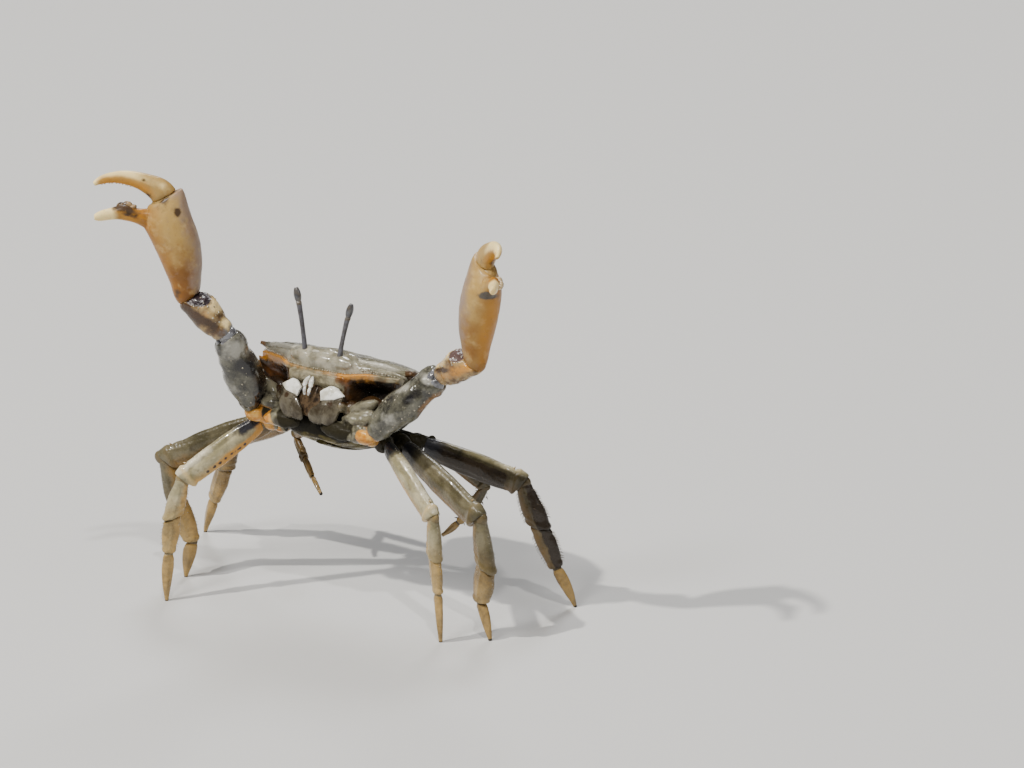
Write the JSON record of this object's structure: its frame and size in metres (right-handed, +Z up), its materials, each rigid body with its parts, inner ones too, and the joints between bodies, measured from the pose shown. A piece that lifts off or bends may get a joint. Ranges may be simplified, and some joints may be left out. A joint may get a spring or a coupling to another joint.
{
  "type": "sentinel crab",
  "caption": "Live sentinel crab standing with both claws raised, long eyestalks up, wide flat shell pitched front up on slender walking legs.",
  "frame": {"origin": "on the floor, under the middle of the whole animal's bounding box", "axes": "the crab faces -Y, its left side is +X, +Z is up"},
  "size_m": [0.069, 0.0338, 0.0642],
  "materials": {
    "back_shell": "wet, glossy, olive grey, mottled, granular towards the sides",
    "front_shell": "wet, pale olive above an orange-brown beaded ridge, dark brown below it",
    "under_shell": "wet, yellow-olive to grey, smooth plates",
    "mouth_plates": "wet, grey, white towards the upper edge",
    "eyestalk_skin": "smooth, slate grey",
    "cornea": "smooth, glossy, dark slate",
    "limb_bases": "wet, orange-brown with dark joints",
    "arm_shell": "wet, mottled grey, with dark bands and granular edges",
    "wrist_shell": "cream and brown, mottled, granular",
    "claw_shell": "cream above, ochre-orange below, smooth and satin",
    "leg_shell": "wet, grey-olive above, cream below, granular edges",
    "leg_tips": "tan, ribbed, smooth"
  },
  "bodies": {
    "root": {"abdomen": "under_shell", "carapace": "back_shell", "face": "front_shell", "left_claw_base": "limb_bases", "left_claw_carpus": "wrist_shell", "left_claw_dactyl": "claw_shell", "left_claw_merus": "arm_shell", "left_cornea": "cornea", "left_eyestalk": "eyestalk_skin", "left_leg1_base": "limb_bases", "left_leg1_carpus": "leg_shell", "left_leg1_dactyl": "leg_tips", "left_leg1_merus": "leg_shell", "left_leg1_propodus": "leg_shell", "left_leg2_base": "limb_bases", "left_leg2_carpus": "leg_shell", "left_leg2_dactyl": "leg_tips", "left_leg2_merus": "leg_shell", "left_leg2_propodus": "leg_shell", "left_leg3_base": "limb_bases", "left_leg3_carpus": "leg_shell", "left_leg3_dactyl": "leg_tips", "left_leg3_merus": "leg_shell", "left_leg3_propodus": "leg_shell", "left_leg4_base": "limb_bases", "left_leg4_carpus": "leg_shell", "left_leg4_dactyl": "leg_tips", "left_leg4_merus": "leg_shell", "left_leg4_propodus": "leg_shell", "left_maxilliped": "mouth_plates", "left_palm": "claw_shell", "right_claw_base": "limb_bases", "right_claw_carpus": "wrist_shell", "right_claw_dactyl": "claw_shell", "right_claw_merus": "arm_shell", "right_cornea": "cornea", "right_eyestalk": "eyestalk_skin", "right_leg1_base": "limb_bases", "right_leg1_carpus": "leg_shell", "right_leg1_dactyl": "leg_tips", "right_leg1_merus": "leg_shell", "right_leg1_propodus": "leg_shell", "right_leg2_base": "limb_bases", "right_leg2_carpus": "leg_shell", "right_leg2_dactyl": "leg_tips", "right_leg2_merus": "leg_shell", "right_leg2_propodus": "leg_shell", "right_leg3_base": "limb_bases", "right_leg3_carpus": "leg_shell", "right_leg3_dactyl": "leg_tips", "right_leg3_merus": "leg_shell", "right_leg3_propodus": "leg_shell", "right_leg4_base": "limb_bases", "right_leg4_carpus": "leg_shell", "right_leg4_dactyl": "leg_tips", "right_leg4_merus": "leg_shell", "right_leg4_propodus": "leg_shell", "right_maxilliped": "mouth_plates", "right_palm": "claw_shell", "thorax": "under_shell"}
  },
  "joints": []
}
